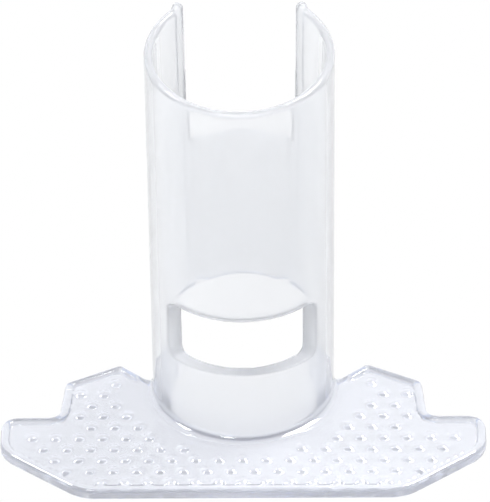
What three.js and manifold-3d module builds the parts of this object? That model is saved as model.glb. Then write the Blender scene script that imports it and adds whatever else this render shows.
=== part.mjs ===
// A cheek retractor: a split, slightly flared sleeve standing on a pimpled paddle with two wings
// and two ears. It is one clear moulding, and each mesh below is a named region of it; regions
// that meet share a face.
// Millimetres. +Z is up along the sleeve, -Y is the front, where the window is, and the underside
// of the paddle is at z = 0. Angles about the sleeve's axis are in degrees from the front.

import * as THREE from 'three';
import { mergeVertices } from 'three/addons/utils/BufferGeometryUtils.js';
import Module from 'manifold-3d';

const wasm = await Module();
wasm.setup();

// ---- Driving dimensions ----

// Sleeve
const FOOT_DIAMETER = 19.5;
const RIM_DIAMETER = 19.9;
const FOOT_BORE = 16.2;
const RIM_BORE = 18.0;
const SLEEVE_HEIGHT = 44.0; // paddle face to rim, on the axis
const RIM_RISE = 2.0; // how much higher the rim is at its back than at its front

// Openings in the sleeve
const WINDOW_SILL = 8.7; // above the paddle's face
const WINDOW_HEIGHT = 7.05;
const WINDOW_HALF_ANGLE = 53; // at the sleeve's outer face
const WINDOW_INNER_HALF_ANGLE = 48.5;
const WINDOW_CORNER = 1.1;
const REAR_OPENING_HEIGHT = 8.5; // above the paddle's face
const REAR_OPENING_HALF_ANGLE = 70; // from the back
const REAR_OPENING_CORNER = 1.1;
const SLOT_HALF_ANGLE = 39.7; // from the back
const SLOT_BOTTOM = 27.2; // above the paddle's face

// Lips along the slot, and the thin web that closes it low down
const LIP_WIDTH = 1.15;
const LIP_PROUD = 0.22; // inwards of the bore
const LIP_TIP = 0.6; // above the rim
const WEB_THICKNESS = 0.8;
const WEB_FLAT = 7.0; // from the axis to the inner face of its flats
const WEB_CROWN_HALF_WIDTH = 3.7;
const WEB_CROWN_RISE = 1.15;
const WEB_LEAN = 0.02; // outwards, for each millimetre of height
const WEB_SETBACK = 0.2; // its outer face inwards of the sleeve's

// Paddle
const PLATE_THICKNESS = 1.0;
const BORDER_WIDTH = 0.95;
const BORDER_RISE = 0.3;
const ROOT_FILLET_WIDTH = 1.7;
const ROOT_FILLET_HEIGHT = 0.8;
const FRONT_EDGE = 18.55; // in front of the axis
const WING_HALF_SPAN = 25.95;
const WING_BACK_EDGE = 5.95; // in front of the axis
const WING_END_LENGTH = 5.75; // along the wing's end, before it turns to the front
const FRONT_EDGE_HALF_LENGTH = 17.2;
const EAR_ROOT = 19.75; // from the middle to the ear's outer side
const EAR_SIDE_LEAN = 0.55; // how far that side leans in towards the ear's corner
const EAR_CORNER_BACK = -0.1; // behind the axis
const EAR_TIP_ACROSS = 13.3;
const EAR_TIP_BACK = 3.0; // behind the axis

// Grip pimples
const PIMPLE_DIAMETER = 1.5;
const PIMPLE_HEIGHT = 0.45;
const PIMPLE_PITCH = 2.5;
const ROW_PITCH = 1.85;
const FRONT_ROWS = 3; // rows that run right across in front of the sleeve
const GRIP_SKIN = 0.2; // the part of the plate that the pimples stand on
const FIELD_CLEARANCE = 0.04; // from a pimple to the border
const CLEAR_HALF_WIDTH = 12.9; // plain oval round the sleeve's root
const CLEAR_HALF_DEPTH = 11.9;
const WING_PLAIN_FROM = 18; // beyond this, the back of the wing is plain
const WING_PLAIN_DEPTH = 3.0;

// Smoothness
const ROUND_STEPS = 72;
const CORNER_STEPS = 5;
const PIMPLE_SIDES = 6;
const REACH = 60; // past anything on the part
const CORNER_MARGIN = 0.4; // from a rounded corner to where one region gives way to the next
const REAR_MARGIN = 8; // degrees past the rear opening's sides

// ---- Sizes that follow ----

const face = PLATE_THICKNESS;
const rimHeight = face + SLEEVE_HEIGHT;
const slope = RIM_RISE / RIM_DIAMETER;
const windowBottom = face + WINDOW_SILL;
const windowTop = windowBottom + WINDOW_HEIGHT;
const rearTop = face + REAR_OPENING_HEIGHT;
const slotBottom = face + SLOT_BOTTOM;
const postBottom = windowBottom + WINDOW_CORNER + CORNER_MARGIN;
const postTop = windowTop - WINDOW_CORNER - CORNER_MARGIN;
const armFoot = rearTop - REAR_OPENING_CORNER - CORNER_MARGIN;
const slotFrom = 180 - SLOT_HALF_ANGLE;
const lipFrom = slotFrom - THREE.MathUtils.radToDeg(LIP_WIDTH / (RIM_DIAMETER / 2));
const rearFrom = 180 - REAR_OPENING_HALF_ANGLE;
const outerAt = (z) => between(FOOT_DIAMETER, RIM_DIAMETER, z) / 2;
const boreAt = (z) => between(FOOT_BORE, RIM_BORE, z) / 2;

function between(foot, rim, z) {
  return foot + (rim - foot) * (z - face) / SLEEVE_HEIGHT;
}

// ---- Solids ----

function solidOf(geometry) {
  const bare = geometry.clone();
  bare.deleteAttribute('normal');
  bare.deleteAttribute('uv');
  const merged = mergeVertices(bare, 1e-5);
  const mesh = new wasm.Mesh({
    numProp: 3,
    vertProperties: new Float32Array(merged.attributes.position.array),
    triVerts: new Uint32Array(merged.index.array),
  });
  return new wasm.Manifold(mesh);
}

function geometryOf(solid) {
  const mesh = solid.getMesh();
  const geometry = new THREE.BufferGeometry();
  geometry.setAttribute('position', new THREE.BufferAttribute(mesh.vertProperties, 3));
  geometry.setIndex(new THREE.BufferAttribute(mesh.triVerts, 1));
  geometry.computeVertexNormals();
  return geometry;
}

// A closed profile of [radius, height] points turned about the sleeve's axis.
function turned(profile) {
  const points = [...profile, profile[0]].map(([r, z]) => new THREE.Vector2(r, z));
  return solidOf(new THREE.LatheGeometry(points, ROUND_STEPS).rotateX(Math.PI / 2));
}

// A flat shape given thickness between two exact heights.
function raised(shape, from, to, curveSegments = CORNER_STEPS) {
  const block = new THREE.ExtrudeGeometry(shape, { depth: 1, bevelEnabled: false, curveSegments });
  const place = block.attributes.position;
  for (let i = 0; i < place.count; i += 1) place.setZ(i, place.getZ(i) > 0.5 ? to : from);
  return solidOf(block);
}

// A pie slice of the space round the axis, between two angles and two heights.
function slice(fromAngle, toAngle, bottom, top) {
  const start = THREE.MathUtils.degToRad(fromAngle - 90);
  const end = THREE.MathUtils.degToRad(toAngle - 90);
  const shape = new THREE.Shape();
  shape.moveTo(0, 0);
  shape.lineTo(REACH * Math.cos(start), REACH * Math.sin(start));
  shape.absarc(0, 0, REACH, start, end, false);
  return raised(shape, bottom, top, ROUND_STEPS / 2);
}

// Everything above a plane that climbs towards the back as the rim does.
function aboveRim(lift) {
  const shape = new THREE.Shape();
  shape.moveTo(-REACH, rimHeight + lift - slope * REACH);
  shape.lineTo(REACH, rimHeight + lift + slope * REACH);
  shape.lineTo(REACH, 3 * REACH);
  shape.lineTo(-REACH, 3 * REACH);
  const sideways = new THREE.Matrix4().makeBasis(
    new THREE.Vector3(0, 1, 0),
    new THREE.Vector3(0, 0, 1),
    new THREE.Vector3(1, 0, 0),
  );
  const block = new THREE.ExtrudeGeometry(shape, { depth: 2 * REACH, bevelEnabled: false });
  return solidOf(block.applyMatrix4(sideways).translate(-REACH, 0, 0));
}

// An opening through the wall with rounded corners, drawn flat and then wrapped round the axis.
// Inside the wall its sides close in to innerShare of the angle that they have outside it.
function opening(halfAngle, middle, bottom, top, corner, innerShare) {
  const radius = FOOT_DIAMETER / 2;
  const side = THREE.MathUtils.degToRad(halfAngle) * radius - corner;
  const quarter = Math.PI / 2;
  const shape = new THREE.Shape();
  shape.moveTo(-side, bottom);
  for (let i = 1; i <= ROUND_STEPS / 2; i += 1) {
    shape.lineTo(side * (4 * i / ROUND_STEPS - 1), bottom);
  }
  shape.absarc(side, bottom + corner, corner, -quarter, 0, false);
  shape.absarc(side, top - corner, corner, 0, quarter, false);
  for (let i = 1; i <= ROUND_STEPS / 2; i += 1) {
    shape.lineTo(side * (1 - 4 * i / ROUND_STEPS), top);
  }
  shape.absarc(-side, top - corner, corner, quarter, 2 * quarter, false);
  shape.absarc(-side, bottom + corner, corner, 2 * quarter, 3 * quarter, false);
  const rings = [
    { r: 1, share: innerShare },
    { r: FOOT_BORE / 2, share: innerShare },
    { r: radius, share: 1 },
    { r: REACH, share: 1 },
  ];
  const block = new THREE.ExtrudeGeometry(shape, {
    depth: rings.length - 1, steps: rings.length - 1, bevelEnabled: false, curveSegments: CORNER_STEPS,
  });
  const place = block.attributes.position;
  for (let i = 0; i < place.count; i += 1) {
    const { r, share } = rings[Math.round(place.getZ(i))];
    const angle = share * place.getX(i) / radius + THREE.MathUtils.degToRad(middle);
    place.setXYZ(i, r * Math.sin(angle), -r * Math.cos(angle), place.getY(i));
  }
  return solidOf(block);
}

// ---- Paddle outline: corners of the right half from front to back, each with its radius ----

const wingCorners = [
  [FRONT_EDGE_HALF_LENGTH, -FRONT_EDGE, 5],
  [WING_HALF_SPAN, -WING_BACK_EDGE - WING_END_LENGTH, 4],
  [WING_HALF_SPAN, -WING_BACK_EDGE, 2.2],
];
const earCorners = [
  [EAR_ROOT, -WING_BACK_EDGE, 1.4],
  [EAR_ROOT - EAR_SIDE_LEAN, EAR_CORNER_BACK, 0.9],
  [EAR_TIP_ACROSS, EAR_TIP_BACK, 0.7],
];
const rootInset = FOOT_DIAMETER / 2 - 0.75; // inside the sleeve, where the outline closes
const rootCorner = [rootInset, EAR_TIP_BACK - 0.875 * (EAR_TIP_ACROSS - rootInset), 0];
const rightHalf = [...wingCorners, ...earCorners, rootCorner];
const mirrored = rightHalf.map(([x, y, radius]) => [-x, y, radius]).reverse();
const corners = [...rightHalf, ...mirrored];

function edgeFrames(points) {
  return points.map(([x, y], i) => {
    const [nextX, nextY] = points[(i + 1) % points.length];
    const length = Math.hypot(nextX - x, nextY - y);
    return { x, y, alongX: (nextX - x) / length, alongY: (nextY - y) / length };
  });
}

// The same corners, each edge moved inwards. An outer corner gets tighter and an inner one wider.
function insetCorners(points, distance) {
  const edges = edgeFrames(points);
  return points.map(([, , radius], i) => {
    const a = edges[(i + points.length - 1) % points.length];
    const b = edges[i];
    const cross = a.alongX * b.alongY - a.alongY * b.alongX;
    const ax = a.x - distance * a.alongY;
    const ay = a.y + distance * a.alongX;
    const bx = b.x - distance * b.alongY;
    const by = b.y + distance * b.alongX;
    const t = ((bx - ax) * b.alongY - (by - ay) * b.alongX) / cross;
    const newRadius = radius === 0 ? 0 : Math.max(0.1, radius - Math.sign(cross) * distance);
    return [ax + t * a.alongX, ay + t * a.alongY, newRadius];
  });
}

function roundedShape(points) {
  const edges = edgeFrames(points);
  const shape = new THREE.Shape();
  points.forEach(([x, y, radius], i) => {
    const a = edges[(i + points.length - 1) % points.length];
    const b = edges[i];
    const turn = Math.acos(a.alongX * b.alongX + a.alongY * b.alongY);
    const trim = radius * Math.tan(turn / 2);
    const draw = i === 0 ? 'moveTo' : 'lineTo';
    shape[draw](x - trim * a.alongX, y - trim * a.alongY);
    if (radius > 0) shape.quadraticCurveTo(x, y, x + trim * b.alongX, y + trim * b.alongY);
  });
  return shape;
}

const plateShape = roundedShape(corners);
const fieldCorners = insetCorners(corners, BORDER_WIDTH);
const fieldShape = roundedShape(fieldCorners);

// ---- Sleeve ----

const wallLow = -1;
const wallHigh = rimHeight + RIM_RISE + LIP_TIP + 1;

function wall(proud) {
  return turned([
    [boreAt(wallLow) - proud, wallLow],
    [outerAt(wallLow), wallLow],
    [outerAt(wallHigh), wallHigh],
    [boreAt(wallHigh) - proud, wallHigh],
  ]);
}

const filledSleeve = turned([
  [0, wallLow],
  [outerAt(wallLow), wallLow],
  [outerAt(wallHigh), wallHigh],
  [0, wallHigh],
]);
const windowCut = opening(
  WINDOW_HALF_ANGLE, 0, windowBottom, windowTop, WINDOW_CORNER,
  WINDOW_INNER_HALF_ANGLE / WINDOW_HALF_ANGLE,
);
const rearCut = opening(
  REAR_OPENING_HALF_ANGLE, 180, wallLow - 2 * REAR_OPENING_CORNER, rearTop, REAR_OPENING_CORNER, 1,
);
const slotCut = slice(slotFrom, 360 - slotFrom, wallLow, wallHigh);
const pierced = wall(0).subtract(windowCut).subtract(rearCut).subtract(slotCut)
  .subtract(aboveRim(0));

function collar() {
  const front = slice(-90, 90, 0, postBottom);
  const sides = slice(-rearFrom - REAR_MARGIN, rearFrom + REAR_MARGIN, 0, armFoot);
  return pierced.intersect(front.add(sides));
}

function windowPost(side) {
  const angles = [side * WINDOW_INNER_HALF_ANGLE / 2, side * 90].sort((a, b) => a - b);
  return pierced.intersect(slice(...angles, postBottom, postTop));
}

function frontWall() {
  return pierced.intersect(slice(-90, 90, postTop, wallHigh));
}

function arm(side) {
  const angles = [side * 90, side * lipFrom].sort((a, b) => a - b);
  return pierced.intersect(slice(...angles, armFoot, wallHigh));
}

function lip(side) {
  const angles = [side * lipFrom, side * slotFrom].sort((a, b) => a - b);
  const column = wall(LIP_PROUD).intersect(slice(...angles, rearTop, wallHigh));
  return column.subtract(aboveRim(LIP_TIP));
}

function rearWeb() {
  const rise = WEB_CROWN_RISE;
  const half = WEB_CROWN_HALF_WIDTH;
  const radius = (half * half + rise * rise) / (2 * rise);
  const centre = WEB_FLAT + rise - radius;
  const inner = Math.asin((WEB_FLAT - centre) / radius);
  const thick = radius + WEB_THICKNESS;
  const outer = Math.asin((WEB_FLAT + WEB_THICKNESS - centre) / thick);
  const shape = new THREE.Shape();
  shape.moveTo(-REACH / 2, WEB_FLAT);
  shape.lineTo(-half, WEB_FLAT);
  shape.absarc(0, centre, radius, Math.PI - inner, inner, true);
  shape.lineTo(REACH / 2, WEB_FLAT);
  shape.lineTo(REACH / 2, WEB_FLAT + WEB_THICKNESS);
  shape.absarc(0, centre, thick, outer, Math.PI - outer, false);
  shape.lineTo(-REACH / 2, WEB_FLAT + WEB_THICKNESS);
  const settings = {
    depth: slotBottom - rearTop, bevelEnabled: false, curveSegments: 3 * CORNER_STEPS,
  };
  const lean = new THREE.Matrix4().makeShear(0, 0, 0, 0, 0, WEB_LEAN);
  const block = new THREE.ExtrudeGeometry(shape, settings).applyMatrix4(lean);
  const panel = solidOf(block.translate(0, 0, rearTop));
  const radiusOut = outerAt(rearTop) - WEB_SETBACK;
  const skin = turned([[0, wallLow], [radiusOut, wallLow], [radiusOut, wallHigh], [0, wallHigh]]);
  return panel.intersect(skin).intersect(slotCut);
}

// ---- Paddle ----

// The concave round between the sleeve and the paddle's face, as far as the paddle reaches.
function rootFillet() {
  const foot = FOOT_DIAMETER / 2;
  const profile = [[foot - 1, face], [foot + ROOT_FILLET_WIDTH, face]];
  for (let i = 1; i <= CORNER_STEPS; i += 1) {
    const angle = (Math.PI / 2) * i / CORNER_STEPS;
    const r = foot + ROOT_FILLET_WIDTH * (1 - Math.sin(angle));
    profile.push([r, face + ROOT_FILLET_HEIGHT * (1 - Math.cos(angle))]);
  }
  profile.push([foot - 1, face + ROOT_FILLET_HEIGHT]);
  const overPlate = raised(plateShape, face, face + ROOT_FILLET_HEIGHT);
  return turned(profile).subtract(filledSleeve).intersect(overPlate);
}

function plateBase() {
  return raised(plateShape, 0, face - GRIP_SKIN).subtract(filledSleeve);
}

function border() {
  const ring = raised(plateShape, face, face + BORDER_RISE)
    .subtract(raised(fieldShape, wallLow, REACH));
  const reach = FOOT_DIAMETER / 2 + ROOT_FILLET_WIDTH;
  const root = turned([[0, wallLow], [reach, wallLow], [reach, wallHigh], [0, wallHigh]]);
  return ring.subtract(root);
}

function distanceToField(x, y) {
  const edges = edgeFrames(fieldCorners);
  const inOutline = edges.map(({ x: ex, y: ey, alongX, alongY }, i) => {
    const [nextX, nextY] = fieldCorners[(i + 1) % fieldCorners.length];
    const length = Math.hypot(nextX - ex, nextY - ey);
    const t = THREE.MathUtils.clamp((x - ex) * alongX + (y - ey) * alongY, 0, length);
    return Math.hypot(x - ex - t * alongX, y - ey - t * alongY);
  });
  return Math.min(...inOutline);
}

function insideField(x, y) {
  let inside = false;
  fieldCorners.forEach(([ax, ay], i) => {
    const [bx, by] = fieldCorners[(i + 1) % fieldCorners.length];
    if ((ay > y) !== (by > y) && x < ax + (bx - ax) * (y - ay) / (by - ay)) inside = !inside;
  });
  return inside;
}

// Staggered rows, the first just inside the front border.
const firstRow = -FRONT_EDGE + BORDER_WIDTH + PIMPLE_DIAMETER / 2 + 2 * FIELD_CLEARANCE;

function pimplePlaces() {
  const places = [];
  const rows = Math.floor((EAR_TIP_BACK - firstRow) / ROW_PITCH);
  const reach = Math.ceil(WING_HALF_SPAN / PIMPLE_PITCH);
  for (let row = 0; row <= rows; row += 1) {
    const y = firstRow + row * ROW_PITCH;
    for (let i = -reach; i <= reach; i += 1) {
      const x = (i + (row % 2) / 2) * PIMPLE_PITCH;
      const nearRoot = Math.hypot(x / CLEAR_HALF_WIDTH, y / CLEAR_HALF_DEPTH) < 1;
      const onPlainWing = Math.abs(x) > WING_PLAIN_FROM
        && y > -WING_BACK_EDGE - WING_PLAIN_DEPTH;
      const room = PIMPLE_DIAMETER / 2 + FIELD_CLEARANCE;
      const fits = insideField(x, y) && distanceToField(x, y) >= room;
      if (fits && !nearRoot && !onPlainWing) places.push([x, y]);
    }
  }
  return places;
}

function pimple() {
  const radius = PIMPLE_DIAMETER / 2;
  const shoulder = [0.72 * radius, 0.7 * PIMPLE_HEIGHT];
  const profile = [[0, -GRIP_SKIN / 2], [radius, -GRIP_SKIN / 2], [radius, 0], shoulder];
  const points = [...profile, [0, PIMPLE_HEIGHT], profile[0]].map(([r, z]) => new THREE.Vector2(r, z));
  return solidOf(new THREE.LatheGeometry(points, PIMPLE_SIDES).rotateX(Math.PI / 2));
}

// The top skin of the plate with its pimples, within one rectangle of the paddle.
function gripSkin(fromX, toX, fromY, toY) {
  const box = new THREE.BoxGeometry(toX - fromX, toY - fromY, REACH);
  const patch = solidOf(box.translate((fromX + toX) / 2, (fromY + toY) / 2, 0));
  const top = raised(plateShape, face - GRIP_SKIN, face).subtract(filledSleeve);
  const one = pimple();
  let skin = top.intersect(patch);
  for (const [x, y] of pimplePlaces()) {
    const within = x > fromX && x < toX && y > fromY && y < toY;
    if (within) skin = skin.add(one.translate([x, y, face]));
  }
  return skin;
}

// ---- Materials ----

const clear = (color, roughness) => new THREE.MeshStandardMaterial({
  color, roughness, metalness: 0, transparent: true, opacity: 0.45,
});
const sleeveClear = clear(0xe9ecf0, 0.25);
const edgeClear = clear(0xdfe4ea, 0.15);
const paddleClear = clear(0xdcdff0, 0.2);

// ---- Assembly: the origin is under the middle of the whole part ----

const part = new THREE.Group();
part.name = 'cheek_retractor';
const backReach = WEB_FLAT + WEB_CROWN_RISE + WEB_THICKNESS + WEB_LEAN * (slotBottom - rearTop);
part.position.y = (FRONT_EDGE - backReach) / 2;

function place(name, solid, material) {
  const mesh = new THREE.Mesh(geometryOf(solid), material);
  mesh.name = name;
  part.add(mesh);
}

place('sleeve_front_wall', frontWall(), sleeveClear);
place('sleeve_collar', collar(), sleeveClear);
for (const [name, side] of [['left', -1], ['right', 1]]) {
  place(`${name}_window_post`, windowPost(side), sleeveClear);
  place(`${name}_arm`, arm(side), sleeveClear);
  place(`${name}_slot_lip`, lip(side), edgeClear);
}
place('rear_web', rearWeb(), sleeveClear);
place('root_fillet', rootFillet(), sleeveClear);
place('paddle_plate', plateBase(), paddleClear);
place('paddle_border', border(), edgeClear);
const apron = firstRow + FRONT_ROWS * ROW_PITCH - ROW_PITCH / 2;
place('front_grip_skin', gripSkin(-REACH, REACH, -REACH, apron), paddleClear);
place('left_grip_skin', gripSkin(-REACH, 0, apron, REACH), paddleClear);
place('right_grip_skin', gripSkin(0, REACH, apron, REACH), paddleClear);

export default part;
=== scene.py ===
"""The looks of a clear moulded cheek retractor: one seamless moulding over the CAD regions."""

import math

import bmesh
import bpy
from mathutils import Matrix, Vector


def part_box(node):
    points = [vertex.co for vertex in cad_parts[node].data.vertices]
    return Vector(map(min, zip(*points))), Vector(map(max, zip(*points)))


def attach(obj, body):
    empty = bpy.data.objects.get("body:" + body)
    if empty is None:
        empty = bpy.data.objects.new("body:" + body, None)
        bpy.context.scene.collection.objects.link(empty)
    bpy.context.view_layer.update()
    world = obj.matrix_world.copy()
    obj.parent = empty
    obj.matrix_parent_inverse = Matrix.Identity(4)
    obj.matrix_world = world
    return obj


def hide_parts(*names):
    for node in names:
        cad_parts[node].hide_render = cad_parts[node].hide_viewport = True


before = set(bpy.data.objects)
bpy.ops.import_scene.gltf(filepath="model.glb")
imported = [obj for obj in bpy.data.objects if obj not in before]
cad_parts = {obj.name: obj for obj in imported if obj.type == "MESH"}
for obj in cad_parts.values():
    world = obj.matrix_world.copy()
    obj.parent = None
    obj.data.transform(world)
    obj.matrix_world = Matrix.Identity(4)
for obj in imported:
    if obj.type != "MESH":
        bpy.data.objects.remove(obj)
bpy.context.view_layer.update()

MM = 0.001

# ---- Sizes of the moulding in millimetres, measured from the sleeve's axis and the paddle's face

FOOT_RADIUS, RIM_RADIUS = 9.75, 9.95
FOOT_BORE, RIM_BORE = 8.1, 9.0
SLEEVE_HEIGHT = 44.0
RIM_SLOPE = 2.0 / 19.9
RIM_ROUND = 0.44
# Openings in the sleeve, placed by angle from the front. inner is the share of the opening's
# width that is left at the bore.
WINDOW = {
    "half_angle": 53.0,
    "middle": 0.0,
    "low": 8.7,
    "high": 15.75,
    "corner": 1.1,
    "inner": 48.5 / 53.0,
}
REAR = {
    "half_angle": 70.0,
    "middle": 180.0,
    "low": -6.0,
    "high": 8.5,
    "corner": 1.1,
    "inner": 1.0,
}
SLOT_HALF_ANGLE, SLOT_BOTTOM = 39.7, 27.2
LIP_RADIUS, LIP_ABOVE_RIM, LIP_PROUD = 0.57, 0.5, 0.22
# The lip starts this share of its radius over the rear opening. Its foot and its tip sit a little
# inside the middle of the wall.
LIP_START, LIP_FOOT_IN, LIP_TIP_IN = 0.6, 0.05, 0.02
# The lip's foot: how far below its lowest station, and the share of its full width.
LIP_FOOT = [(-0.5, 0.55), (-0.35, 0.85), (-0.1, 1.0)]
WEB = {
    "flat": 7.0,
    "half_width": 8.0,
    "crown_half": 3.7,
    "rise": 1.15,
    "thick": 0.8,
    "lean": 0.02,
    "setback": 0.2,
}
PLATE = 1.0
BORDER_WIDTH, BORDER_RISE = 0.95, 0.3
FILLET_WIDTH, FILLET_HEIGHT, FILLET_OVERLAP = 1.7, 0.8, 0.5
# The paddle's outer edge from bottom to top: how far in from the outline, and the height.
EDGE = [
    (0.15, -PLATE),
    (0.04, -0.93),
    (0.0, -0.8),
    (0.0, -0.25),
    (0.06, 0.0),
    (0.2, 0.19),
    (0.5, BORDER_RISE),
]
GROOVE_WIDTH, GROOVE_DEPTH = 0.32, 0.2
PIMPLE_RADIUS, PIMPLE_HEIGHT, PIMPLE_ROOT = 0.76, 0.34, 0.3
PIMPLE_PITCH, ROW_PITCH, FIRST_ROW = 2.5, 1.85, 0.83
PIMPLE_ROOM = 0.05
CLEAR_OVAL = (12.9, 11.9)
WING_PLAIN_FROM, WING_PLAIN_BACK = 18.0, -8.95
VOXEL = 0.16

# Cutters run between these heights and out to this radius, well clear of the sleeve.
CUT_LOW, CUT_HIGH, CUT_RADIUS = -5, 60, 60
# Cutters of the paddle run this far above or below its face.
PADDLE_CLEAR = 9

# Corners of the paddle's right half from front to back, each with its radius.
RIGHT_HALF = [
    (17.2, -18.55, 5.0),
    (25.95, -11.7, 4.0),
    (25.95, -5.95, 2.2),
    (19.75, -5.95, 1.4),
    (19.2, -0.1, 0.9),
    (13.3, 3.0, 0.7),
    (9.0, -0.76, 0.0),
]
PADDLE_FRONT = RIGHT_HALF[0][1]

axis_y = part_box("sleeve_front_wall")[1][1] / MM
face_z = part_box("root_fillet")[0][2] / MM


def outer_at(z):
    return FOOT_RADIUS + (RIM_RADIUS - FOOT_RADIUS) * z / SLEEVE_HEIGHT


def bore_at(z):
    return FOOT_BORE + (RIM_BORE - FOOT_BORE) * z / SLEEVE_HEIGHT


# ---- Mesh code ----


def linked(name, mesh):
    made = bpy.data.objects.new(name, mesh)
    bpy.context.scene.collection.objects.link(made)
    return made


def solid(name, points, faces):
    mesh = bpy.data.meshes.new(name)
    mesh.from_pydata([tuple(p) for p in points], [], faces)
    work = bmesh.new()
    work.from_mesh(mesh)
    bmesh.ops.remove_doubles(work, verts=work.verts, dist=1e-5)
    bmesh.ops.recalc_face_normals(work, faces=work.faces)
    work.to_mesh(mesh)
    work.free()
    return linked(name, mesh)


def skin(loops, spans):
    """Quads between neighbouring loops of equal length, for that many spans."""
    count = len(loops[0])
    faces = []
    for i in range(spans):
        a, b = i * count, ((i + 1) % len(loops)) * count
        for j in range(count):
            k = (j + 1) % count
            faces.append((a + j, a + k, b + k, b + j))
    return faces


def loft(name, loops, close_ends):
    """Skins loops of equal length. close_ends fans each end to its middle, or else they join."""
    count = len(loops[0])
    points = [p for loop in loops for p in loop]
    faces = skin(loops, len(loops) - (1 if close_ends else 0))
    if close_ends:
        for end, loop in ((0, loops[0]), ((len(loops) - 1) * count, loops[-1])):
            points.append(sum((Vector(p) for p in loop), Vector()) / count)
            for j in range(count):
                faces.append((end + j, end + (j + 1) % count, len(points) - 1))
    return solid(name, points, faces)


def turned(name, profile, steps=360):
    """A closed profile of (radius, height) turned about the sleeve's axis."""
    loops = []
    for i in range(steps):
        turn = 2 * math.pi * i / steps
        loops.append([(r * math.sin(turn), -r * math.cos(turn), z) for r, z in profile])
    return loft(name, loops, False)


def rod(name, radius, low, high):
    """A round bar on the sleeve's axis."""
    return turned(name, [(0, low), (radius, low), (radius, high), (0, high)])


def slab(name, outline, low, high):
    count = len(outline)
    points = [(x, y, low) for x, y in outline] + [(x, y, high) for x, y in outline]
    faces = [tuple(range(count))[::-1], tuple(range(count, 2 * count))]
    faces += [(j, (j + 1) % count, count + (j + 1) % count, count + j) for j in range(count)]
    return solid(name, points, faces)


def settle(target):
    """Bakes a target's modifiers into its mesh."""
    graph = bpy.context.evaluated_depsgraph_get()
    graph.update()
    mesh = bpy.data.meshes.new_from_object(target.evaluated_get(graph), depsgraph=graph)
    target.modifiers.clear()
    target.data = mesh
    return target


def cut(target, tool, operation="DIFFERENCE"):
    step = target.modifiers.new("cut", "BOOLEAN")
    step.operation = operation
    step.solver = "MANIFOLD"
    step.object = tool
    settle(target)
    bpy.data.objects.remove(tool)
    return target


def arc(cx, cy, radius, start, end, steps=8):
    angles = [math.radians(start + (end - start) * i / steps) for i in range(steps + 1)]
    return [(cx + radius * math.cos(a), cy + radius * math.sin(a)) for a in angles]


def opening(name, half_angle, middle, low, high, corner, inner):
    """A cutter with rounded corners that is drawn flat and wrapped round the axis."""
    side = math.radians(half_angle) * FOOT_RADIUS - corner
    steps = 60
    across = [side * (2 * i / steps - 1) for i in range(1, steps)]
    flat = [(x, low) for x in across]
    flat += arc(side, low + corner, corner, -90, 0)
    flat += arc(side, high - corner, corner, 0, 90)
    flat += [(-x, high) for x in across]
    flat += arc(-side, high - corner, corner, 90, 180)
    flat += arc(-side, low + corner, corner, 180, 270)
    loops = []
    for r, share in ((1, inner), (FOOT_BORE, inner), (FOOT_RADIUS, 1), (CUT_RADIUS, 1)):
        loop = []
        for s, z in flat:
            turn = share * s / FOOT_RADIUS + math.radians(middle)
            loop.append((r * math.sin(turn), -r * math.cos(turn), z))
        loops.append(loop)
    return loft(name, loops, True)


def slot_wedge(margin):
    """The sector of the slot, wider by margin degrees on each side."""
    steps = 24
    radius = 40.0
    start = 180 - SLOT_HALF_ANGLE - margin
    end = 360 - start
    outline = [(0.0, 0.0)]
    for i in range(steps + 1):
        turn = math.radians(start + (end - start) * i / steps)
        outline.append((radius * math.sin(turn), -radius * math.cos(turn)))
    return slab("slot", outline, CUT_LOW, CUT_HIGH)


# ---- Paddle outline ----


def edges_of(points):
    """Each edge's start, direction and length."""
    found = []
    for i, (x, y, _) in enumerate(points):
        nx, ny, _ = points[(i + 1) % len(points)]
        length = math.hypot(nx - x, ny - y)
        found.append((x, y, (nx - x) / length, (ny - y) / length, length))
    return found


def inset(points, distance):
    """The outline moved inwards, with its corner radii to suit."""
    edges = edges_of(points)
    moved = []
    for i, (_, _, radius) in enumerate(points):
        ax, ay, aux, auy, _ = edges[i - 1]
        bx, by, bux, buy, _ = edges[i]
        cross = aux * buy - auy * bux
        ax, ay = ax - distance * auy, ay + distance * aux
        bx, by = bx - distance * buy, by + distance * bux
        t = ((bx - ax) * buy - (by - ay) * bux) / cross
        tighter = max(0.1, radius - math.copysign(distance, cross)) if radius else 0.0
        moved.append((ax + t * aux, ay + t * auy, tighter))
    return moved


def rounded(points, steps=12):
    """The outline with each corner turned on a quadratic curve."""
    edges = edges_of(points)
    outline = []
    for i, (x, y, radius) in enumerate(points):
        _, _, aux, auy, _ = edges[i - 1]
        _, _, bux, buy, _ = edges[i]
        if not radius:
            outline.append((x, y))
            continue
        trim = radius * math.tan(math.acos(max(-1.0, min(1.0, aux * bux + auy * buy))) / 2)
        start = Vector((x - trim * aux, y - trim * auy))
        end = Vector((x + trim * bux, y + trim * buy))
        for k in range(steps + 1):
            t = k / steps
            spot = start * (1 - t) ** 2 + Vector((x, y)) * 2 * t * (1 - t) + end * t**2
            outline.append((spot.x, spot.y))
    return outline


corners = RIGHT_HALF + [(-x, y, r) for x, y, r in reversed(RIGHT_HALF)]
field = inset(corners, BORDER_WIDTH)


def inside(x, y):
    """Whether a pimple centred here stands clear of the border."""
    room = PIMPLE_RADIUS + PIMPLE_ROOM
    within = False
    for i, (ax, ay, aux, auy, length) in enumerate(edges_of(field)):
        bx, by, _ = field[(i + 1) % len(field)]
        if (ay > y) != (by > y) and x < ax + (bx - ax) * (y - ay) / (by - ay):
            within = not within
        t = max(0.0, min(length, (x - ax) * aux + (y - ay) * auy))
        if math.hypot(x - ax - t * aux, y - ay - t * auy) < room:
            return False
    return within


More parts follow.
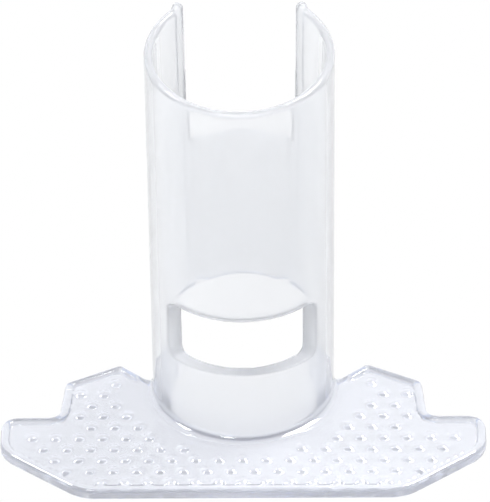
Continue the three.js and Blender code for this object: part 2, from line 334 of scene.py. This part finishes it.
def pimple_places():
    places = []
    rows, columns_each_side = 12, 11
    for row in range(rows):
        y = PADDLE_FRONT + BORDER_WIDTH + FIRST_ROW + row * ROW_PITCH
        for i in range(-columns_each_side, columns_each_side + 1):
            x = (i + (row % 2) / 2) * PIMPLE_PITCH
            near_root = math.hypot(x / CLEAR_OVAL[0], y / CLEAR_OVAL[1]) < 1
            on_plain_wing = abs(x) > WING_PLAIN_FROM and y > WING_PLAIN_BACK
            if inside(x, y) and not near_root and not on_plain_wing:
                places.append((x, y))
    return places


# ---- The moulding ----


def sleeve():
    """The split tube with its rounded rim, which climbs towards the back."""
    top = SLEEVE_HEIGHT
    middle = (RIM_RADIUS + RIM_BORE) / 2
    half = (RIM_RADIUS - RIM_BORE) / 2
    rings, rim_steps = 24, 12
    heights = [-PLATE + (top - RIM_ROUND + PLATE) * i / rings for i in range(rings + 1)]
    profile = [(outer_at(z), z) for z in heights]
    for i in range(1, rim_steps):
        a = math.pi * i / rim_steps
        profile.append((middle + half * math.cos(a), top - RIM_ROUND + RIM_ROUND * math.sin(a)))
    profile += [(bore_at(z), z) for z in reversed(heights)]
    tube = turned("sleeve", profile)
    for vertex in tube.data.vertices:
        share = max(0.0, vertex.co.z - WINDOW["high"]) / (top - WINDOW["high"])
        vertex.co.z += RIM_SLOPE * vertex.co.y * share
    cut(tube, opening("window", **WINDOW))
    cut(tube, opening("rear", **REAR))
    return cut(tube, slot_wedge(2))


def lip(side):
    """A rounded bead up one edge of the slot, with a round tip just above the rim."""
    turn = math.radians(180 - SLOT_HALF_ANGLE) * side

    def beside_slot(radius, z):
        lean = turn - math.copysign(LIP_RADIUS / radius, turn)
        return Vector((radius * math.sin(lean), -radius * math.cos(lean), z))

    foot = REAR["high"] + LIP_RADIUS * LIP_START
    low = beside_slot((outer_at(foot) + bore_at(foot)) / 2 - LIP_FOOT_IN, foot)
    radius = (RIM_RADIUS + RIM_BORE) / 2 - LIP_TIP_IN
    rim = SLEEVE_HEIGHT + RIM_SLOPE * abs(radius * math.cos(turn))
    high = beside_slot(radius, rim + LIP_ABOVE_RIM - LIP_RADIUS)
    along = (high - low).normalized()
    outward = Vector((math.sin(turn), -math.cos(turn), 0))
    across = along.cross(outward).normalized()
    outward = across.cross(along).normalized()
    lengths, tip_steps, sides = 20, 8, 24
    stations = [(low, along * drop, share) for drop, share in LIP_FOOT]
    stations += [(low.lerp(high, i / lengths), Vector(), 1.0) for i in range(lengths + 1)]
    for i in range(1, tip_steps):
        a = math.pi / 2 * i / tip_steps
        stations.append((high, along * LIP_RADIUS * math.sin(a), math.cos(a)))
    loops = []
    for spot, shift, share in stations:
        deep = (outer_at(spot.z) - bore_at(spot.z)) / 2 + LIP_PROUD
        loop = []
        for k in range(sides):
            a = 2 * math.pi * k / sides
            out = outward * deep * share * math.cos(a)
            loop.append(spot + shift + (out + across * LIP_RADIUS * share * math.sin(a)))
        loops.append(loop)
    return loft("lip", loops, True)


def web():
    """The thin panel that closes the low part of the slot, crowned outwards in the middle."""
    half, rise, flat, reach = WEB["crown_half"], WEB["rise"], WEB["flat"], WEB["half_width"]
    radius = (half**2 + rise**2) / (2 * rise)
    centre = flat + rise - radius
    # soften rounds the crease where the crown meets the flat, and settled takes back some of the
    # height that this adds.
    soften, settled = 0.02, 0.03
    steps = 80
    inner = []
    for i in range(steps + 1):
        x = -reach + 2 * reach * i / steps
        bulge = centre + math.sqrt(max(0.0, radius**2 - x**2)) if abs(x) < half else flat
        rise_here = bulge - flat
        inner.append((x, flat + 0.5 * (rise_here + math.sqrt(rise_here**2 + soften)) - settled))
    outline = inner + [(x, y + WEB["thick"]) for x, y in reversed(inner)]
    panel = slab("web", outline, REAR["high"], SLOT_BOTTOM)
    for vertex in panel.data.vertices:
        vertex.co.y += WEB["lean"] * (vertex.co.z - REAR["high"])
    limit = outer_at(REAR["high"]) - WEB["setback"]
    cut(panel, rod("limit", limit, CUT_LOW, CUT_HIGH), "INTERSECT")
    return cut(panel, slot_wedge(3), "INTERSECT")


def dome():
    """One pimple, sunk a little into the plate."""
    profile = [(0.0, -PIMPLE_ROOT), (PIMPLE_RADIUS, -PIMPLE_ROOT)]
    rings, sides = 6, 24
    curve = (PIMPLE_RADIUS**2 + PIMPLE_HEIGHT**2) / (2 * PIMPLE_HEIGHT)
    for i in range(rings + 1):
        r = PIMPLE_RADIUS * (1 - i / rings)
        profile.append((r, PIMPLE_HEIGHT - curve + math.sqrt(curve**2 - r**2)))
    return turned("dome", profile, sides)


def plate_and_border():
    """The plate with its raised border, rounded at the outer edge."""
    loops = [[(x, y, z) for x, y in rounded(inset(corners, d))] for d, z in EDGE]
    count = len(loops[0])
    last = count * (len(loops) - 1)
    faces = [tuple(range(count))[::-1], tuple(range(last, last + count))]
    faces += skin(loops, len(loops) - 1)
    plate = solid("plate", [point for loop in loops for point in loop], faces)
    cut(plate, slab("field", rounded(field), 0, 1))
    middle = slab("middle", rounded(inset(corners, BORDER_WIDTH + GROOVE_WIDTH)), -1, 1)
    cut(plate, cut(slab("groove", rounded(field), -GROOVE_DEPTH, 0.1), middle))
    return plate


def root_fillet():
    """The hollow curve between the sleeve's foot and the paddle's face."""
    reach = FOOT_RADIUS + FILLET_WIDTH
    inner = FOOT_RADIUS - 0.8
    steps = 12
    profile = [(inner, -FILLET_OVERLAP), (reach + 0.2, -FILLET_OVERLAP), (reach, 0.0)]
    for i in range(1, steps + 1):
        a = math.pi / 2 * i / steps
        r = FOOT_RADIUS + FILLET_WIDTH * (1 - math.sin(a))
        profile.append((r, FILLET_HEIGHT * (1 - math.cos(a))))
    profile.append((inner, FILLET_HEIGHT))
    return cut(turned("fillet", profile), slab("over", rounded(corners), -2, 3), "INTERSECT")


def paddle():
    plate = plate_and_border()
    cut(plate, rod("root", FOOT_RADIUS + FILLET_WIDTH, 0, PADDLE_CLEAR))
    cut(plate, rod("bore", FOOT_BORE + FILLET_OVERLAP, -PADDLE_CLEAR, PADDLE_CLEAR))
    pieces = [plate, root_fillet()]
    pattern = dome()
    for x, y in pimple_places():
        pimple = linked("dome", pattern.data.copy())
        pimple.data.transform(Matrix.Translation((x, y, 0)))
        pieces.append(pimple)
    bpy.data.objects.remove(pattern)
    return pieces


def joined(name, pieces):
    work = bmesh.new()
    for piece in pieces:
        work.from_mesh(piece.data)
        bpy.data.objects.remove(piece)
    mesh = bpy.data.meshes.new(name)
    work.to_mesh(mesh)
    work.free()
    return linked(name, mesh)


def relaxed(target, iterations, group=""):
    step = target.modifiers.new("relax", "SMOOTH")
    step.factor = 0.5
    step.iterations = iterations
    step.vertex_group = group
    return settle(target)


def weighted_by_height(target, low, high):
    """Names a vertex group that is full above one height and empty below another."""
    group = target.vertex_groups.new(name="relax")
    spots = {}
    for vertex in target.data.vertices:
        share = max(0.0, min(1.0, (vertex.co.z - low) / (high - low)))
        spots.setdefault(round(share, 1), []).append(vertex.index)
    for share, indices in spots.items():
        group.add(indices, share, "REPLACE")
    return group.name


def moulding():
    """Fuses the pieces into one mesh, and relaxes the sleeve more than the paddle."""
    whole = joined("retractor_moulding", [sleeve(), lip(-1), lip(1), web()] + paddle())
    fused = whole.modifiers.new("fuse", "REMESH")
    fused.mode = "VOXEL"
    fused.voxel_size = VOXEL
    settle(whole)
    relaxed(whole, 3)
    relaxed(whole, 7, weighted_by_height(whole, FILLET_HEIGHT, FILLET_HEIGHT + 1.5))
    whole.vertex_groups.clear()
    place = Matrix.Translation((0, axis_y * MM, face_z * MM)) @ Matrix.Scale(MM, 4)
    whole.data.transform(place)
    whole.data.shade_smooth()
    return whole


body = moulding()
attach(body, "root")
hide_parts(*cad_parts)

# ---- Materials ----


class Value:
    """A number socket that takes part in plain arithmetic."""

    def __init__(self, tree, socket):
        self.tree, self.socket = tree, socket

    def _math(self, operation, first, second):
        node = self.tree.nodes.new("ShaderNodeMath")
        node.operation = operation
        for slot, value in zip(node.inputs, (first, second)):
            if isinstance(value, Value):
                self.tree.links.new(value.socket, slot)
            else:
                slot.default_value = value
        return Value(self.tree, node.outputs[0])

    def __add__(self, other):
        return self._math("ADD", self, other)

    __radd__ = __add__

    def __sub__(self, other):
        return self._math("SUBTRACT", self, other)

    def __rsub__(self, other):
        return self._math("SUBTRACT", other, self)

    def __mul__(self, other):
        return self._math("MULTIPLY", self, other)

    __rmul__ = __mul__


class Shader:
    """The nodes of a material or a world, which all come from one method."""

    def __init__(self, owner):
        owner.use_nodes = True
        self.owner = owner
        self.tree = owner.node_tree
        self.tree.nodes.clear()

    def node(self, kind, settings=None, **inputs):
        made = self.tree.nodes.new(kind)
        for key, value in (settings or {}).items():
            if key == "stops":
                ramp = made.color_ramp
                while len(ramp.elements) < len(value):
                    ramp.elements.new(0.5)
                for element, (spot, colour) in zip(ramp.elements, value):
                    element.position = spot
                    element.color = (*colour, 1)
            else:
                setattr(made, key, value)
        for key, value in inputs.items():
            slot = made.inputs[key.replace("_", " ")]
            if isinstance(value, Value):
                self.tree.links.new(value.socket, slot)
            elif isinstance(value, bpy.types.NodeSocket):
                self.tree.links.new(value, slot)
            else:
                slot.default_value = value
        return made

    def noise(self, scale, detail):
        where = self.node("ShaderNodeNewGeometry").outputs["Position"]
        found = self.node("ShaderNodeTexNoise", Vector=where, Scale=scale, Detail=detail)
        return Value(self.tree, found.outputs["Fac"])

    def height(self, low, high):
        """0 at one height of the part and 1 at another."""
        where = self.node("ShaderNodeNewGeometry").outputs["Position"]
        up = self.node("ShaderNodeSeparateXYZ", Vector=where).outputs["Z"]
        share = self.node("ShaderNodeMapRange", Value=up, From_Min=low, From_Max=high)
        return Value(self.tree, share.outputs["Result"])


# The moulding's plastics. tints run from TINT_LOW to TINT_HIGH above the paddle's face, and
# depth is the colour that thick plastic takes on. The edge plastic's deep blue tints and depth
# are painted shade, for the dark-blue refraction lines along the paddle's low edge and the web.
TINT_LOW, TINT_HIGH = -0.5, 10.0
PLASTICS = {
    "sleeve_clear_plastic": {
        "tints": [
            (0.0, (0.93, 0.94, 0.965)),
            (0.4, (0.95, 0.956, 0.966)),
            (1.0, (0.955, 0.96, 0.968)),
        ],
        "clarity": 0.68,
        "gloss": 0.008,
        "coat": 0.15,
        "depth": (0.35, 0.50, 0.85),
        "density": 5.0,
    },
    "paddle_clear_plastic": {
        "tints": [
            (0.0, (0.82, 0.832, 0.875)),
            (0.1, (0.83, 0.842, 0.88)),
            (1.0, (0.93, 0.935, 0.95)),
        ],
        "clarity": 0.74,
        "gloss": 0.01,
        "coat": 0.6,
        "depth": (0.30, 0.44, 0.86),
        "density": 14.0,
    },
    # Painted shade: the paddle's bluish tint made deeper and darker, standing in for the
    # dark-blue refraction lines at edges.
    "edge_painted_shade_plastic": {
        "tints": [
            (0.0, (0.50, 0.60, 0.87)),
            (0.5, (0.60, 0.71, 0.93)),
            (1.0, (0.62, 0.73, 0.94)),
        ],
        "clarity": 0.45,
        "gloss": 0.01,
        "coat": 0.3,
        "depth": (0.20, 0.38, 0.92),
        "density": 20.0,
    },
}
ON_SLEEVE, ON_PADDLE, ON_PAINTED_EDGE_SHADE = range(len(PLASTICS))

# Where the plastics meet, in millimetres from the paddle's face, the sleeve's axis, its foot or
# the top of the rear opening.
PAINTED_EDGE_TOP, WALL_TOP, PADDLE_TOP = -0.86, -0.1, FILLET_HEIGHT + 0.1
ROOT_MARGIN, WEB_BACK, WEB_BELOW, WEB_ABOVE = 0.25, 5.0, 0.8, 2.0
# A face's normal has a height under these where it is flat underneath, leans down or stands up.
FLAT_UNDER, LEANS_DOWN, STANDS_UP = -0.9, -0.5, 0.7


def clear_plastic(name, tints, clarity, gloss, coat, depth, density):
    """Clear plastic with a little haze."""
    shader = Shader(bpy.data.materials.new(name))
    up = shader.height((face_z + TINT_LOW) * MM, (face_z + TINT_HIGH) * MM)
    tint = shader.node("ShaderNodeValToRGB", {"stops": tints}, Fac=up)
    haze = shader.noise(140.0, 3.0)
    ripple = shader.noise(420.0, 2.0)
    bump = shader.node("ShaderNodeBump", Height=ripple, Strength=0.02, Distance=0.0002)
    plastic = shader.node(
        "ShaderNodeBsdfPrincipled",
        Base_Color=tint.outputs["Color"],
        Roughness=haze * (gloss * 2) + gloss * 0.5,
        IOR=1.49,
        Transmission_Weight=clarity,
        Coat_Weight=coat,
        Normal=bump.outputs["Normal"],
    )
    inside_it = shader.node("ShaderNodeVolumeAbsorption", Color=(*depth, 1), Density=density)
    shader.node(
        "ShaderNodeOutputMaterial", Surface=plastic.outputs[0], Volume=inside_it.outputs[0]
    )
    return shader.owner


def plastic_of(face):
    """Which plastic covers a face, with painted dark-blue shade on the paddle's low edge and
    under the web.
    """
    x, y, z = (axis / MM for axis in face.center)
    up, back = z - face_z, y - axis_y
    # Painted shade: the lowest strip of the paddle's edge and the web's down-facing underside
    # take the dark-blue edge plastic.
    low_edge_painted_shade = up < PAINTED_EDGE_TOP and face.normal.z > FLAT_UNDER
    near_rear_opening = REAR["high"] - WEB_BELOW < up < REAR["high"] + WEB_ABOVE
    web_underside_painted_shade = near_rear_opening and back > WEB_BACK and face.normal.z < LEANS_DOWN
    if low_edge_painted_shade or web_underside_painted_shade:
        return ON_PAINTED_EDGE_SHADE
    off_root = math.hypot(x, back) > FOOT_RADIUS + ROOT_MARGIN
    outer_wall = up < WALL_TOP and abs(face.normal.z) < STANDS_UP
    if off_root and up < PADDLE_TOP and not outer_wall:
        return ON_PADDLE
    return ON_SLEEVE


body.data.materials.clear()
for name, look in PLASTICS.items():
    body.data.materials.append(clear_plastic(name, **look))
for face in body.data.polygons:
    face.material_index = plastic_of(face)

# ---- Floor, light and camera ----


def floor():
    """A plain white floor just under the part."""
    reach, gap = 9, 0.00005
    square = [(-reach, -reach, 0), (reach, -reach, 0), (reach, reach, 0), (-reach, reach, 0)]
    made = solid("floor", square, [(0, 1, 2, 3)])
    made.location.z = -gap
    shader = Shader(bpy.data.materials.new("pale_floor"))
    lit = shader.node("ShaderNodeEmission", Color=(1, 1, 1, 1), Strength=1.0)
    shader.node("ShaderNodeOutputMaterial", Surface=lit.outputs[0])
    made.data.materials.append(shader.owner)


def surroundings():
    """A pale sky that is brighter and bluer at the horizon than overhead."""
    sky = Shader(bpy.data.worlds.new("studio"))
    bpy.context.scene.world = sky.owner
    stops = [
        (0.0, (0.80, 0.85, 0.95)),
        (0.3, (0.80, 0.83, 0.89)),
        (0.6, (0.68, 0.69, 0.72)),
        (0.95, (0.60, 0.60, 0.62)),
    ]
    where = sky.node("ShaderNodeTexCoord").outputs["Generated"]
    up = sky.node("ShaderNodeSeparateXYZ", Vector=where).outputs["Z"]
    colour = sky.node("ShaderNodeValToRGB", {"stops": stops}, Fac=up).outputs["Color"]
    shine = sky.node("ShaderNodeBackground", Color=colour, Strength=1.34)
    sky.node("ShaderNodeOutputWorld", Surface=shine.outputs[0])


def softbox(name, spot, size, watts):
    """A square lamp that faces the part."""
    lamp = bpy.data.lights.new(name, "AREA")
    lamp.shape = "RECTANGLE"
    lamp.size = lamp.size_y = size
    lamp.energy = watts
    made = linked(name, lamp)
    made.location = spot
    aim = Vector((0, 0, 0.02)) - Vector(spot)
    made.rotation_euler = aim.to_track_quat("-Z", "Y").to_euler()


def camera():
    """A long lens that looks down at the part from the front, a little rolled."""
    azimuth, elevation, roll = (math.radians(a) for a in (0.687, 37.5, -0.725))
    distance = 700
    sensor, lens_per_sensor = 36.0, 6595.9 / 490
    away = Vector((
        math.sin(azimuth) * math.cos(elevation),
        -math.cos(azimuth) * math.cos(elevation),
        math.sin(elevation),
    ))
    across, height = 0.337, 17.817
    target = Vector((across, axis_y, height + face_z))
    level = Vector((math.cos(azimuth), math.sin(azimuth), 0))
    up = level.cross(-away)
    right = math.cos(roll) * level + math.sin(roll) * up
    top = -math.sin(roll) * level + math.cos(roll) * up
    turn = Matrix((right, top, away)).transposed().to_4x4()
    lens = bpy.data.cameras.new("view")
    lens.sensor_fit = "HORIZONTAL"
    lens.sensor_width = sensor
    lens.lens = lens_per_sensor * sensor
    lens.clip_start = 0.01
    made = linked("view", lens)
    made.matrix_world = Matrix.Translation((target + away * distance) * MM) @ turn
    bpy.context.scene.camera = made


floor()
surroundings()
softbox("key", (0.35, 0.25, 0.8), 0.30, 5.5)
softbox("fill", (-0.2, -0.4, 0.85), 0.16, 2.0)
softbox("sparkle", (-0.45, 0.1, 0.7), 0.14, 1.8)
camera()
bpy.context.scene.view_settings.view_transform = "Standard"
bpy.context.scene.cycles.max_bounces = 24
bpy.context.scene.cycles.transmission_bounces = 24
bpy.context.scene.cycles.diffuse_bounces = 6
